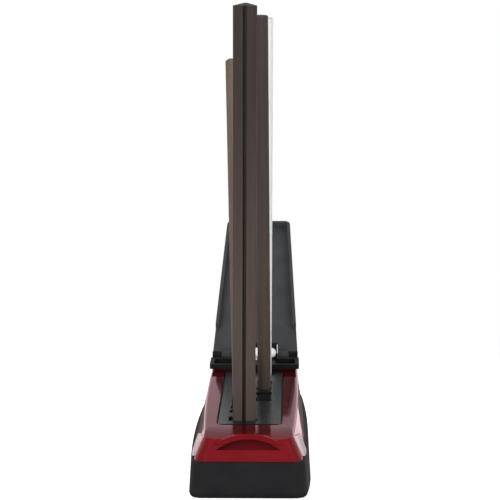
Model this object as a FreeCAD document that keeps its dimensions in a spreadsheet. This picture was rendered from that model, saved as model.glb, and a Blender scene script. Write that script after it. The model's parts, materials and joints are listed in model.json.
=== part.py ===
import FreeCAD, Part
import Sketcher
import math
import os

from FreeCAD import Placement, Rotation, Vector

# Manual knife sharpener: a wedge-shaped moulded base with slanted sockets in its deck,
# four sharpening rods standing in them, and a cover that hinges at the rear.
# Millimetres. +Z is up, the narrow front end faces -Y, the origin is under the base's centre.
# "Behind" means the distance from the base's front edge towards +Y.
SIZES = {
    # lower shell
    "base_length": 180.0,
    "base_half_end": 32.4,
    "base_bulge": 3.0,
    "base_draft": 3.0,
    "base_corner": 8.0,
    "base_edge": 3.5,
    "floor_thick": 2.4,
    "shell_wall": 2.4,
    "rim_front_height": 19.5,
    "rim_slope": 9.2,
    # red housing
    "reveal": 1.6,
    "lip_depth": 4.0,
    "lip_gap": 0.2,
    "lip_wall": 1.8,
    "deck_front_height": 33.13,
    "deck_slope": 12.0,
    "deck_start": 4.2,
    "deck_end_inset": 8.0,
    "deck_half_front": 24.6,
    "deck_half_rear": 27.4,
    "deck_bulge": 1.9,
    "deck_thick": 3.0,
    "housing_corner": 7.0,
    "deck_edge": 2.2,
    "brow_back": 25.0,
    "brow_radius": 100.0,
    "brow_ahead": 5.0,
    "front_block": 14.0,
    "front_block_top": 20.0,
    # finger notch in the front
    "hood_half": 19.0,
    "hood_foot": 29.5,
    "hood_rise": 5.7,
    "hood_front": 2.4,
    "hood_back": 16.0,
    "notch_half": 18.0,
    "notch_floor": 26.2,
    "notch_rise": 5.7,
    "notch_back": 9.5,
    "rim_round": 0.7,
    # socket plate and block
    "plate_half": 18.35,
    "plate_front": 25.5,
    "plate_set": 1.0,
    "plate_thick": 1.6,
    "plate_corner": 4.5,
    "plate_gap": 0.5,
    "ledge_width": 1.5,
    "column_offset": 7.1,
    "window_half": 4.7,
    "waist_half": 4.2,
    "window_length": 20.0,
    "window_bar": 5.6,
    "block_half": 15.0,
    "block_front": 28.5,
    "block_set": 4.5,
    "block_depth": 27.0,
    "block_gap": 0.3,
    "post_radius": 3.6,
    "post_half": 9.0,
    "post_front": 46.0,
    "post_rear_inset": 34.0,
    "post_sink": 2.5,
    "left_window_one": 57.5,
    "left_window_two": 81.0,
    "right_window_one": 74.0,
    "right_window_two": 99.0,
    "white_window_set": 5.1,
    "white_window_length": 10.5,
    "socket_inset": 5.6,
    "socket_shift": 0.4,
    "triangle_window_front": 32.7,
    "triangle_window_length": 22.3,
    "triangle_window_bar": 8.6,
    "triangle_window_notch": 3.6,
    "triangle_window_left": 5.0,
    "triangle_window_step": 2.4,
    "triangle_window_right": 4.25,
    "triangle_waist_right": 2.9,
    # rods
    "rod_length": 254.0,
    "socket_depth": 24.0,
    "triangle_depth": 18.2,
    "rear_rod_depth": 22.5,
    "front_rod_depth": 25.0,
    "white_rod_depth": 27.0,
    "socket_gap": 0.1,
    "rod_lean": 20.0,
    "rod_radius": 4.0,
    "rod_chamfer": 0.5,
    "tip_chamfer": 1.1,
    "triangle_flat": 14.2,
    "triangle_corner": 1.0,
    "groove_width": 2.1,
    "groove_depth": 1.8,
    "triangle_across": -3.2,
    "triangle_behind": 37.4,
    "triangle_side": 0.76,
    "rear_rod_behind": 71.9,
    "rear_rod_side": -2.1,
    "front_rod_behind": 104.6,
    "front_rod_side": -0.1,
    "white_rod_set": 7.1768,
    "white_rod_side": 0.6,
    # hinge bar, pin and cover
    "bar_half": 28.75,
    "bar_length": 20.0,
    "bar_rear_inset": 15.5213,
    "bar_thick": 3.0,
    "bar_seat": 1.0,
    "bar_overhang": 2.0,
    "slot_inner": 13.5,
    "slot_outer": 26.0,
    "slot_set": 2.8,
    "slot_length": 12.7,
    "slot_corner": 1.5,
    "slot_depth": 5.8,
    "hinge_set": 4.3,
    "hinge_height": 4.33,
    "knuckle_radius": 2.6,
    "knuckle_gap": 0.3,
    "web_tail": 1.5,
    "guard_thick": 2.2,
    "guard_foot_thick": 1.3,
    "guard_clear": 1.2,
    "guard_top": 13.0,
    "guard_side_gap": 0.3,
    "ear_inner": 22.0,
    "ear_outer": 28.0,
    "cover_knuckle_inner": 14.8,
    "pin_radius": 1.3,
    "pin_clearance": 0.05,
    "cover_length": 146.0,
    "cover_root_half": 27.9,
    "cover_tip_half": 22.9,
    "cover_thick": 2.0,
    "cover_corner": 4.0,
    "cover_rim": 4.2,
    "cover_rim_wall": 2.2,
    "cover_rim_start": 27.0,
    "cover_notch": 13.0,
    "cover_open": 39.0,
    "cover_web": 2.0,
    "stop_reach": 7.0,
    "stop_thick": 1.6,
    "button_clear": 0.8,
    # lock button
    "button_half": 13.9,
    "button_radius": 3.4,
    "button_set": 7.8,
    "button_height": 7.8,
    "button_travel": 1.8,
    "button_gap": 0.3,
    "button_play": 0.4,
    "collar_gap": 0.1,
    "stem_radius": 1.6,
    "stem_clearance": 0.2,
    "collar_radius": 2.5,
    "collar_thick": 1.0,
    "spring_wire": 0.5,
    "spring_radius": 2.1,
    "spring_cup_radius": 4.0,
    "spring_cup_depth": 6.2,
    "spring_floor": 4.8,
    # grip ribs on the flanks
    "grip_front": 10.0,
    "grip_pitch": 3.1,
    "grip_rib": 1.7,
    "grip_count": 6.0,
    "grip_skin": 0.5,
    "grip_relief": 0.7,
    "grip_low": 22.5,
    "grip_high": 33.5,
    # feet and screws
    "foot_radius": 5.0,
    "foot_thick": 1.4,
    "foot_half": 20.0,
    "foot_inset": 34.0,
    "screw_radius": 1.4,
    "screw_clearance": 0.2,
    "screw_head_radius": 2.7,
    "screw_head_thick": 1.2,
    "screw_length": 9.0,
    "pilot_clearance": 0.03,
    "screw_seat_low": 0.6,
    "screw_drive": 1.3,
    "screw_drive_depth": 0.7,
    "boss_radius": 3.2,
    "boss_half": 20.0,
    "boss_front": 24.0,
    "boss_rear_inset": 18.0,
    "bar_screw_across": 6.0,
    "bar_screw_set": 9.0,
    "bar_screw_skin": 0.5,
    "screw_end": 0.5,
}

# How far a shape runs into what it joins, or past what it cuts
OVER = 1.0

doc = FreeCAD.newDocument("knife_sharpener")
sheet = doc.addObject("Spreadsheet::Sheet", "Sizes")
for row, (alias, number) in enumerate(SIZES.items(), start=1):
    sheet.set("A%d" % row, alias)
    sheet.set("B%d" % row, str(number))
    sheet.setAlias("B%d" % row, alias)
doc.recompute()


class Size:
    """A length or angle that knows both its number and its expression in the sheet."""

    def __init__(self, value, text):
        self.value = value
        self.text = text

    def join(self, other, sign, number):
        other_text = other.text if isinstance(other, Size) else repr(other)
        return Size(number, "(%s %s %s)" % (self.text, sign, other_text))

    def __add__(self, other):
        return self.join(other, "+", self.value + as_number(other))

    def __sub__(self, other):
        return self.join(other, "-", self.value - as_number(other))

    def __mul__(self, other):
        return self.join(other, "*", self.value * as_number(other))

    def __truediv__(self, other):
        return self.join(other, "/", self.value / as_number(other))

    def __neg__(self):
        return Size(-self.value, "(0 - %s)" % self.text)


def as_number(thing):
    return thing.value if isinstance(thing, Size) else float(thing)


def size(alias):
    return Size(float(sheet.get(alias)), "Sizes.%s" % alias)


def tangent(angle):
    return Size(math.tan(math.radians(angle.value)), "tan(%s)" % angle.text)


def cosine(angle):
    return Size(math.cos(math.radians(angle.value)), "cos(%s)" % angle.text)


def bind(target, property_path, amount):
    """Drive one property of an object from the sheet."""
    if isinstance(amount, Size):
        target.setExpression(property_path, amount.text)
    else:
        setattr(target, property_path, amount)


base_length = size("base_length")
front_y = base_length / -2
deck_slope = size("deck_slope")
rim_slope = size("rim_slope")
deck_front_height = size("deck_front_height")

# Places along the sloping deck: the hinge bar keeps its distance from the base's rear end,
# and the hinge, the button, the plate and the white rod keep theirs from the bar
bar_rear = base_length / cosine(deck_slope) - size("bar_rear_inset")
bar_front = bar_rear - size("bar_length")
slot_front = bar_front + size("slot_set")
slot_rear = slot_front + size("slot_length")
hinge_behind = bar_rear + size("hinge_set")
button_behind = hinge_behind - size("button_set")
bar_screw_behind = bar_front + size("bar_screw_set")
plate_rear = bar_front - size("plate_set")
block_rear = bar_front + size("block_set")
white_rod_behind = plate_rear * cosine(deck_slope) - size("white_rod_set")
white_window_front = white_rod_behind - size("white_window_set")


def deck_frame(across=0.0, along=0.0, above=0.0):
    """A place given across, along and above the sloping deck."""
    deck = Placement(
        Vector(0, front_y.value, deck_front_height.value),
        Rotation(Vector(1, 0, 0), deck_slope.value),
    )
    local = Placement(Vector(as_number(across), as_number(along), as_number(above)), Rotation())
    return deck.multiply(local)


# Sketches and bodies


def new_body(name):
    return doc.addObject("PartDesign::Body", name)


def new_sketch(body, name, role, offset=None):
    sketch = body.newObject("Sketcher::SketchObject", name)
    plane = [item for item in body.Origin.OriginFeatures if item.Role == role][0]
    sketch.AttachmentSupport = [(plane, "")]
    sketch.MapMode = "FlatFace"
    if offset is not None:
        sketch.AttachmentOffset = offset
    return sketch


def pin_point(sketch, element, end, corner):
    """Hold one end of an element at a place driven by the sheet."""
    for kind, amount in (("DistanceX", corner[0]), ("DistanceY", corner[1])):
        index = sketch.addConstraint(
            Sketcher.Constraint(kind, -1, 1, element, end, as_number(amount))
        )
        if isinstance(amount, Size):
            sketch.setExpression("Constraints[%d]" % index, amount.text)


def draw_outline(sketch, corners, arcs=None):
    """Close an outline through its corners; arcs gives the bulge of some of its sides."""
    arcs = arcs or {}
    points = [Vector(as_number(x), as_number(y), 0) for x, y in corners]
    starts = []
    ends = []
    for index, start in enumerate(points):
        finish = points[(index + 1) % len(points)]
        if index in arcs:
            bulge = as_number(arcs[index])
            chord = finish - start
            outward = Vector(chord.y, -chord.x, 0).normalize()
            middle = (start + finish) * 0.5 + outward * bulge
            hollow = bulge < 0
            ordered = (finish, middle, start) if hollow else (start, middle, finish)
            element = sketch.addGeometry(Part.Arc(*ordered), False)
            starts.append((element, 2 if hollow else 1))
            ends.append((element, 1 if hollow else 2))
        else:
            element = sketch.addGeometry(Part.LineSegment(start, finish), False)
            starts.append((element, 1))
            ends.append((element, 2))
    for index, corner in enumerate(corners):
        pin_point(sketch, starts[index][0], starts[index][1], corner)
        before = ends[index - 1]
        sketch.addConstraint(
            Sketcher.Constraint("Coincident", before[0], before[1], starts[index][0], starts[index][1])
        )
    for index, bulge in arcs.items():
        start = points[index]
        finish = points[(index + 1) % len(points)]
        half = (finish - start).Length / 2
        radius = (half ** 2 + as_number(bulge) ** 2) / (2 * abs(as_number(bulge)))
        sketch.addConstraint(Sketcher.Constraint("Radius", starts[index][0], radius))
    return sketch


def draw_rectangle(sketch, left, right, low, high):
    return draw_outline(sketch, [(left, low), (right, low), (right, high), (left, high)])


def draw_circle(sketch, centre, radius):
    middle = Vector(as_number(centre[0]), as_number(centre[1]), 0)
    circle = Part.Circle(middle, Vector(0, 0, 1), as_number(radius))
    element = sketch.addGeometry(circle, False)
    pin_point(sketch, element, 3, centre)
    index = sketch.addConstraint(Sketcher.Constraint("Radius", element, as_number(radius)))
    sketch.setExpression("Constraints[%d]" % index, radius.text)
    return sketch


def pad(body, sketch, length, reverse=False):
    feature = body.newObject("PartDesign::Pad", sketch.Name + "_pad")
    feature.Profile = sketch
    bind(feature, "Length", length)
    feature.Reversed = reverse
    doc.recompute()
    return feature


def pocket(body, sketch, length, reverse=False):
    before = body.Shape.Volume
    feature = body.newObject("PartDesign::Pocket", sketch.Name + "_pocket")
    feature.Profile = sketch
    bind(feature, "Length", length)
    feature.Reversed = reverse
    doc.recompute()
    if body.Shape.Volume > before - 1e-3:
        raise RuntimeError("nothing was cut by " + feature.Name)
    return feature


def edge_names(shape, wanted):
    return ["Edge%d" % (i + 1) for i, edge in enumerate(shape.Edges) if wanted(edge)]


def dress(body, kind, name, amount, wanted):
    """Round or bevel the edges of a body's last feature that pass a test."""
    base = body.Tip
    names = edge_names(base.Shape, wanted)
    if not names:
        raise RuntimeError("no edge found for " + name)
    feature = body.newObject("PartDesign::" + kind, name)
    feature.Base = (base, names)
    bind(feature, "Radius" if kind == "Fillet" else "Size", amount)
    body.Tip = feature
    doc.recompute()
    return feature


def place(thing, placement):
    thing.Placement = placement
    return thing


def as_size(amount):
    return amount if isinstance(amount, Size) else Size(float(amount), repr(float(amount)))


def box(name, across, along, above, frame):
    """A block between two limits on each axis, set in a frame."""
    solid = doc.addObject("Part::Box", name)
    for side, (low, high) in zip(("Length", "Width", "Height"), (across, along, above)):
        bind(solid, side, as_size(high) - as_size(low))
    corner = Vector(as_number(across[0]), as_number(along[0]), as_number(above[0]))
    return place(solid, frame.multiply(Placement(corner, Rotation())))


def cylinder(name, radius, height, frame):
    solid = doc.addObject("Part::Cylinder", name)
    bind(solid, "Radius", radius)
    bind(solid, "Height", height)
    return place(solid, frame)


def fuse(name, shapes):
    result = doc.addObject("Part::MultiFuse", name)
    result.Shapes = shapes
    doc.recompute()
    return result


def cut(name, base, tool):
    result = doc.addObject("Part::Cut", name)
    result.Base = base
    result.Tool = tool
    doc.recompute()
    if result.Shape.Volume > base.Shape.Volume - 1e-3:
        raise RuntimeError("nothing was cut by " + name)
    return result


def common(name, base, tool):
    result = doc.addObject("Part::Common", name)
    result.Base = base
    result.Tool = tool
    doc.recompute()
    return result


def compound(name, shapes):
    result = doc.addObject("Part::Compound", name)
    result.Links = shapes
    doc.recompute()
    return result


nodes = {}


def finish(name, thing):
    """Name a finished sub-part; its label is also its file's name."""
    thing.Label = name
    nodes[name] = thing
    return thing


WORLD = Placement()
BASE = Placement(Vector(0, front_y.value, 0), Rotation())


# Tapered forms: every moulding of the base is drawn between two outlines, one above the other


def side_radius(half_length, bulge):
    """The radius of a shallow arc from half its length and its bulge."""
    return (half_length * half_length + bulge * bulge) / (bulge * 2.0)


QUARTER_TURN = 90.0
HALF_TURN = QUARTER_TURN * 2.0


def corner_arc(centre, radius, start, stop):
    """An arc about a corner's centre between two directions in degrees."""
    circle = Part.Circle(Vector(centre[0], centre[1], 0), Vector(0, 0, 1), radius)
    return Part.ArcOfCircle(circle, math.radians(start), math.radians(stop))


def draw_level(body, name, level, corner):
    """A closed outline with straight ends, gently bulging sides and round corners."""
    slope = level["slope"]
    lean = slope.value if isinstance(slope, Size) else 0.0
    along = cosine(slope) if isinstance(slope, Size) else Size(1.0, "1")
    offset = Placement(
        Vector(0, front_y.value, as_number(level["height"])), Rotation(Vector(1, 0, 0), lean)
    )
    sketch = new_sketch(body, name, "XY_Plane", offset)
    front = level["front"] / along
    rear = level["rear"] / along
    half_front = level["half_front"]
    half_rear = level["half_rear"]
    round_by = corner.value
    length = rear.value - front.value
    turn = 2.0 * math.degrees(math.atan(2.0 * level["bulge"].value / length))
    tilt = math.degrees(math.atan((half_rear.value - half_front.value) / length))
    low = (half_front.value - round_by, front.value + round_by)
    high = (half_rear.value - round_by, rear.value - round_by)
    arcs = {
        "front_right": corner_arc(low, round_by, -QUARTER_TURN, -turn - tilt),
        "rear_right": corner_arc(high, round_by, turn - tilt, QUARTER_TURN),
        "rear_left": corner_arc((-high[0], high[1]), round_by, QUARTER_TURN, HALF_TURN - turn + tilt),
        "front_left": corner_arc((-low[0], low[1]), round_by, HALF_TURN + turn + tilt,
                                 HALF_TURN + QUARTER_TURN),
    }
    radius = side_radius((rear - front) / 2.0, level["bulge"])

    def side(start, finish, sign):
        middle = (start + finish) * 0.5
        return Part.Arc(start, Vector(middle.x + sign * level["bulge"].value, middle.y, 0), finish)

    front_line = Part.LineSegment(arcs["front_left"].EndPoint, arcs["front_right"].StartPoint)
    rear_line = Part.LineSegment(arcs["rear_right"].EndPoint, arcs["rear_left"].StartPoint)
    pieces = [
        front_line,
        arcs["front_right"],
        side(arcs["front_right"].EndPoint, arcs["rear_right"].StartPoint, 1.0),
        arcs["rear_right"],
        rear_line,
        arcs["rear_left"],
        side(arcs["rear_left"].EndPoint, arcs["front_left"].StartPoint, -1.0),
        arcs["front_left"],
    ]
    for piece in pieces:
        sketch.addGeometry(piece, False)
    for index in range(len(pieces)):
        following = (index + 1) % len(pieces)
        sketch.addConstraint(Sketcher.Constraint("Tangent", index, 2, following, 1))
    for index in (1, 3, 5, 7):
        drive_radius(sketch, index, corner)
    for index in (2, 6):
        drive_radius(sketch, index, radius)
    for index, place_y in ((0, front), (4, rear)):
        held = sketch.addConstraint(Sketcher.Constraint("DistanceY", -1, 1, index, 1, place_y.value))
        sketch.setExpression("Constraints[%d]" % held, place_y.text)
        sketch.addConstraint(Sketcher.Constraint("Horizontal", index))
    for index, sign in ((2, 1.0), (6, -1.0)):
        for half, place_y in ((half_front, front), (half_rear, rear)):
            across = half * sign
            point = sketch.addGeometry(Part.Point(Vector(across.value, place_y.value, 0)), True)
            pin_point(sketch, point, 1, (across, place_y))
            sketch.addConstraint(Sketcher.Constraint("PointOnObject", point, 1, index))
    doc.recompute()
    return sketch


def drive_radius(sketch, element, radius):
    held = sketch.addConstraint(Sketcher.Constraint("Radius", element, radius.value))
    sketch.setExpression("Constraints[%d]" % held, radius.text)


def tapered_form(name, levels):
    """A solid through several levels, each an outline with its own corner radius."""
    body = new_body(name)
    sketches = [
        draw_level(body, "%s_level_%d" % (name, index), level, corner)
        for index, (level, corner) in enumerate(levels)
    ]
    loft = body.newObject("PartDesign::AdditiveLoft", name + "_loft")
    loft.Profile = sketches[0]
    loft.Sections = sketches[1:]
    loft.Ruled = True
    doc.recompute()
    return body


EDGE_STEPS = 4


def rounding_steps(radius):
    """How far in and how far away from the flat face each step of a rounded edge lies."""
    steps = []
    for step in range(EDGE_STEPS + 1):
        turn = math.radians(QUARTER_TURN * step / EDGE_STEPS)
        steps.append((radius * (1.0 - math.cos(turn)), radius * (1.0 - math.sin(turn))))
    return steps


base_draft = tangent(size("base_draft"))
rim_front = size("rim_front_height")
rim_rear = rim_front + base_length * tangent(rim_slope)


def base_level(height, slope, inset, rise=0.0):
    """The outline of the base at a level, drawn in by its draft and by an inset."""
    front_height = as_size(height)
    rear_height = front_height
    if isinstance(slope, Size):
        rear_height = front_height + base_length * tangent(slope)
    front_draw = front_height * base_draft + inset
    rear_draw = rear_height * base_draft + inset
    half = size("base_half_end")
    return {
        "height": front_height + rise,
        "slope": slope,
        "front": front_draw,
        "rear": base_length - rear_draw,
        "half_front": half - front_draw,
        "half_rear": half - rear_draw,
        "bulge": size("base_bulge"),
    }


def deck_level(inset, drop, start):
    """The outline of the red housing in the plane of its deck."""
    return {
        "height": deck_front_height - drop,
        "slope": deck_slope,
        "front": as_size(start),
        "rear": base_length - size("deck_end_inset") - inset,
        "half_front": size("deck_half_front") - inset,
        "half_rear": size("deck_half_rear") - inset,
        "bulge": size("deck_bulge"),
    }


shell_wall = size("shell_wall")
floor_top = size("floor_thick")

# Lower shell: a drafted tub whose rim rises towards the rear


def lower_shell():
    corner = size("base_corner")
    levels = []
    for inset, lift in reversed(rounding_steps(size("base_edge"))):
        levels.append((base_level(lift, 0.0, inset), corner - inset))
    levels.append((base_level(rim_front, rim_slope, 0.0), corner))
    outer = tapered_form("shell_outer", levels)
    core = tapered_form("shell_core", [
        (base_level(floor_top, 0.0, shell_wall), corner - shell_wall),
        (base_level(rim_front, rim_slope, shell_wall, OVER), corner - shell_wall),
    ])
    tub = cut("shell_tub", outer, core)
    tools = []
    for index, (across, behind) in enumerate(foot_places()):
        frame = BASE.multiply(Placement(Vector(across, behind, 0), Rotation()))
        tools.append(cylinder("foot_seat_%d" % index, size("foot_radius"), size("foot_thick"), frame))
    for index, (across, behind) in enumerate(screw_places()):
        frame = BASE.multiply(Placement(Vector(across, behind, 0), Rotation()))
        hole = size("screw_radius") + size("screw_clearance")
        head = size("screw_head_radius") + size("screw_clearance")
        tools.append(cylinder("screw_way_%d" % index, hole, floor_top + OVER, frame))
        tools.append(cylinder("head_way_%d" % index, head, screw_seat, frame))
    shell = cut("lower_shell_cut", tub, fuse("shell_holes", tools))
    finish("lower_shell", shell)


screw_seat = size("screw_seat_low") + size("screw_head_thick")


def corner_places(half, front, rear):
    return [(side * as_number(half), as_number(y)) for side in (-1, 1) for y in (front, rear)]


def foot_places():
    inset = size("foot_inset")
    return corner_places(size("foot_half"), inset, base_length - inset)


def case_screw_places():
    return corner_places(size("boss_half"), size("boss_front"), base_length - size("boss_rear_inset"))


def block_screw_places():
    return corner_places(size("post_half"), size("post_front"), base_length - size("post_rear_inset"))


def screw_places():
    return case_screw_places() + block_screw_places()


# Rods: each stands in its socket on its own line


def deck_height(behind):
    return deck_front_height.value + as_number(behind) * tangent(deck_slope).value


def rod_frame(across, behind, lean, side_lean, depth):
    """A rod's foot: down its own line from the point where the line leaves the deck."""
    turn = Rotation(Vector(0, 1, 0), as_number(side_lean)).multiply(
        Rotation(Vector(1, 0, 0), as_number(lean))
    )
    along = turn.multVec(Vector(0, 0, 1))
    mouth = Vector(as_number(across), front_y.value + as_number(behind), deck_height(behind))
    return Placement(mouth - along * as_number(depth), turn)


socket_depth = size("socket_depth")
rod_lean = size("rod_lean")
left_column = -size("column_offset")
right_column = size("column_offset")

RODS = {
    "triangular_rod": (size("triangle_across"), size("triangle_behind"), rod_lean,
                       size("triangle_side"), size("triangle_depth")),
    "round_rod_rear": (left_column, size("rear_rod_behind"), -rod_lean,
                       size("rear_rod_side"), size("rear_rod_depth")),
    "round_rod_front": (right_column, size("front_rod_behind"), rod_lean,
                        size("front_rod_side"), size("front_rod_depth")),
    "white_rod": (right_column, white_rod_behind, rod_lean,
                  size("white_rod_side"), size("white_rod_depth")),
}


def round_rod(name, top_chamfer):
    body = new_body(name + "_body")
    pad(body, draw_circle(new_sketch(body, name + "_section", "XY_Plane"), (0, 0), size("rod_radius")),
        size("rod_length"))
    top = size("rod_length").value
    dress(body, "Chamfer", name + "_top", top_chamfer, lambda e: abs(e.BoundBox.ZMin - top) < 1e-3)
    dress(body, "Chamfer", name + "_foot", size("rod_chamfer"), lambda e: e.BoundBox.ZMax < 1e-3)
    finish(name, place(body, rod_frame(*RODS[name])))


def triangle_corners(flat):
    """An even-sided triangle about its centre, with one flat to the front."""
    apothem = flat / (2.0 * math.sqrt(3.0))
    return [(-flat / 2, -apothem), (flat / 2, -apothem), (0, apothem * 2.0)]


def triangular_rod():
    name = "triangular_rod"
    flat = size("triangle_flat")
    body = new_body(name + "_body")
    section = new_sketch(body, "triangle_section", "XY_Plane")
    pad(body, draw_outline(section, triangle_corners(flat)), size("rod_length"))
    dress(body, "Fillet", "triangle_corners", size("triangle_corner"), lambda e: e.Length > size("rod_length").value / 2)
    groove = new_sketch(body, "groove_section", "XY_Plane")
    half = size("groove_width") / 2
    front = -flat / (2.0 * math.sqrt(3.0))
    draw_rectangle(groove, -half, half, front - OVER, front + size("groove_depth"))
    pocket(body, groove, size("rod_length") + OVER, True)
    finish(name, place(body, rod_frame(*RODS[name])))


# Socket plate: the black deck insert with its I-shaped windows


def window_corners(centre, front, full_left, full_right, waist_left, waist_right):
    """An I-shaped window: a wide bar at each end and a narrower waist between them."""
    bar = size("window_bar") / cosine(deck_slope)
    start = as_size(front) / cosine(deck_slope)
    stop = start + size("window_length") / cosine(deck_slope)
    left = centre - full_left
    right = centre + full_right
    inner_left = centre - waist_left
    inner_right = centre + waist_right
    return [
        (left, start),
        (right, start),
        (right, start + bar),
        (inner_right, start + bar),
        (inner_right, stop - bar),
        (right, stop - bar),
        (right, stop),
        (left, stop),
        (left, stop - bar),
        (inner_left, stop - bar),
        (inner_left, start + bar),
        (left, start + bar),
    ]


def full_windows():
    """The front edge of each whole window, with the column it belongs to."""
    return [
        (left_column, size("left_window_one")),
        (left_column, size("left_window_two")),
        (right_column, size("right_window_one")),
        (right_column, size("right_window_two")),
    ]


def empty_sockets():
    """The sockets that hold no rod: column, place behind the front edge, and lean."""
    first = size("socket_inset")
    second = size("window_length") - size("socket_inset")
    shift = size("socket_shift")
    return [
        (left_column, size("left_window_one") + first, rod_lean),
        (left_column, size("left_window_two") + first, rod_lean),
        (left_column + shift, size("left_window_two") + second, -rod_lean),
        (right_column, size("right_window_one") + first, rod_lean),
        (right_column + shift, size("right_window_one") + second, -rod_lean),
        (right_column + shift, size("right_window_two") + second, -rod_lean),
    ]


def socket_plate():
    body = new_body("socket_plate_body")
    half = size("plate_half")
    section = new_sketch(body, "plate_section", "XY_Plane")
    pad(body, draw_rectangle(section, -half, half, size("plate_front"), plate_rear),
        size("plate_thick"), True)
    dress(body, "Fillet", "plate_corners", size("plate_corner"),
          lambda e: abs(e.Vertexes[0].Z - e.Vertexes[-1].Z) > size("plate_thick").value / 2)
    through = size("plate_thick") + OVER
    whole = size("window_half")
    waist = size("waist_half")
    for index, (column, front) in enumerate(full_windows()):
        window = new_sketch(body, "window_%d" % index, "XY_Plane")
        draw_outline(window, window_corners(column, front, whole, whole, waist, waist))
        pocket(body, window, through)
    single = new_sketch(body, "white_rod_window", "XY_Plane")
    start = white_window_front / cosine(deck_slope)
    stop = start + size("white_window_length") / cosine(deck_slope)
    draw_rectangle(single, right_column - whole, right_column + whole, start, stop)
    pocket(body, single, through)
    triangle = new_sketch(body, "triangle_window", "XY_Plane")
    bar = size("triangle_window_bar") / cosine(deck_slope)
    start = size("triangle_window_front") / cosine(deck_slope)
    stop = start + size("triangle_window_length") / cosine(deck_slope)
    left = left_column - size("triangle_window_left")
    right = size("triangle_window_right")
    inner_left = left + size("triangle_window_step")
    inner_right = size("triangle_waist_right")
    rear_bar = size("window_bar") / cosine(deck_slope)
    notch = size("triangle_window_notch") / cosine(deck_slope)
    draw_outline(triangle, [
        (left, start),
        (right, start),
        (right, start + notch),
        (inner_right, start + notch),
        (inner_right, stop),
        (left, stop),
        (left, stop - rear_bar),
        (inner_left, stop - rear_bar),
        (inner_left, start + bar),
        (left, start + bar),
    ])
    pocket(body, triangle, through)
    finish("socket_plate", place(body, deck_frame()))


def socket_tools(name, gap):
    """Solids of the blind sockets: the rods in place, and the empty ones beside them."""
    tools = []
    past = size("rod_radius") * 3.0
    round_hole = size("rod_radius") + gap
    for rod in ("round_rod_rear", "round_rod_front", "white_rod"):
        tools.append(cylinder("%s_%s" % (name, rod), round_hole, RODS[rod][-1] + past, rod_frame(*RODS[rod])))
    for index, (column, behind, lean) in enumerate(empty_sockets()):
        frame = rod_frame(column, behind, lean, 0.0, socket_depth)
        tools.append(cylinder("%s_empty_%d" % (name, index), round_hole, socket_depth + past, frame))
    body = new_body(name + "_triangle")
    section = new_sketch(body, name + "_triangle_section", "XY_Plane")
    draw_outline(section, triangle_corners(size("triangle_flat") + gap * (2.0 * math.sqrt(3.0))))
    pad(body, section, size("triangle_depth") + past)
    place(body, rod_frame(*RODS["triangular_rod"]))
    tools.append(body)
    return fuse(name, tools)


def socket_block():
    """The moulding under the plate that holds every socket, on four posts to the floor."""
    half = size("block_half")
    top = -size("plate_thick")
    low = top - size("block_depth")
    frame = deck_frame()
    gap = size("block_gap")
    window_rear = plate_rear - size("ledge_width") - gap
    under_deck = -size("deck_thick") - gap
    solids = [
        box("block_front_part", (-half, half), (size("block_front"), window_rear), (low, top), frame),
        box("block_rear_part", (-half, half), (window_rear - OVER, block_rear), (low, under_deck),
            frame),
    ]
    for index, (across, behind) in enumerate(block_screw_places()):
        underside = deck_height(behind) + low.value / math.cos(math.radians(deck_slope.value))
        height = underside + size("post_sink").value
        post = cylinder("block_post_%d" % index, size("post_radius"), as_size(height) - floor_top,
                        BASE.multiply(Placement(Vector(across, behind, floor_top.value), Rotation())))
        solids.append(post)
    block = fuse("block_solid", solids)
    sockets = socket_tools("socket", size("socket_gap"))
    bored = cut("block_bored", block, sockets)
    finish("socket_block", cut("block_drilled", bored, pilot_holes("block", block_screw_places())))


def pilot_holes(name, places):
    holes = []
    for index, (across, behind) in enumerate(places):
        frame = BASE.multiply(Placement(Vector(across, behind, screw_seat.value), Rotation()))
        hole = cylinder("%s_pilot_%d" % (name, index), size("screw_radius") + size("pilot_clearance"),
                        size("screw_length") + size("screw_end"), frame)
        holes.append(hole)
    return fuse(name + "_pilots", holes)


# Red housing: a moulded shell with a sloping deck, a hood over the finger notch in front,
# a raised seat for the hinge bar at the rear, and screw bosses inside


def pocket_both(body, sketch, width):
    before = body.Shape.Volume
    feature = body.newObject("PartDesign::Pocket", sketch.Name + "_pocket")
    feature.Profile = sketch
    feature.SideType = "Symmetric"
    bind(feature, "Length", width)
    doc.recompute()
    if body.Shape.Volume > before - 1e-3:
        raise RuntimeError("nothing was cut by " + feature.Name)
    return feature


def draw_segment(body, name, behind, half, foot, rise):
    """A half-moon standing across the front, with its flat side down."""
    offset = Placement(Vector(0, 0, -(front_y.value + as_number(behind))), Rotation())
    sketch = new_sketch(body, name, "XZ_Plane", offset)
    draw_arch(sketch, half, foot, rise)
    doc.recompute()
    return sketch


def draw_arch(sketch, half, foot, rise):
    right = Vector(half.value, foot.value, 0)
    left = Vector(-half.value, foot.value, 0)
    top = Vector(0, foot.value + rise.value, 0)
    arc = sketch.addGeometry(Part.Arc(right, top, left), False)
    line = sketch.addGeometry(Part.LineSegment(left, right), False)
    sketch.addConstraint(Sketcher.Constraint("Coincident", arc, 2, line, 1))
    sketch.addConstraint(Sketcher.Constraint("Coincident", line, 2, arc, 1))
    pin_point(sketch, arc, 1, (half, foot))
    pin_point(sketch, arc, 2, (-half, foot))
    radius = (half * half + rise * rise) / (rise * 2.0)
    index = sketch.addConstraint(Sketcher.Constraint("Radius", arc, radius.value))
    sketch.setExpression("Constraints[%d]" % index, radius.text)


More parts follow.
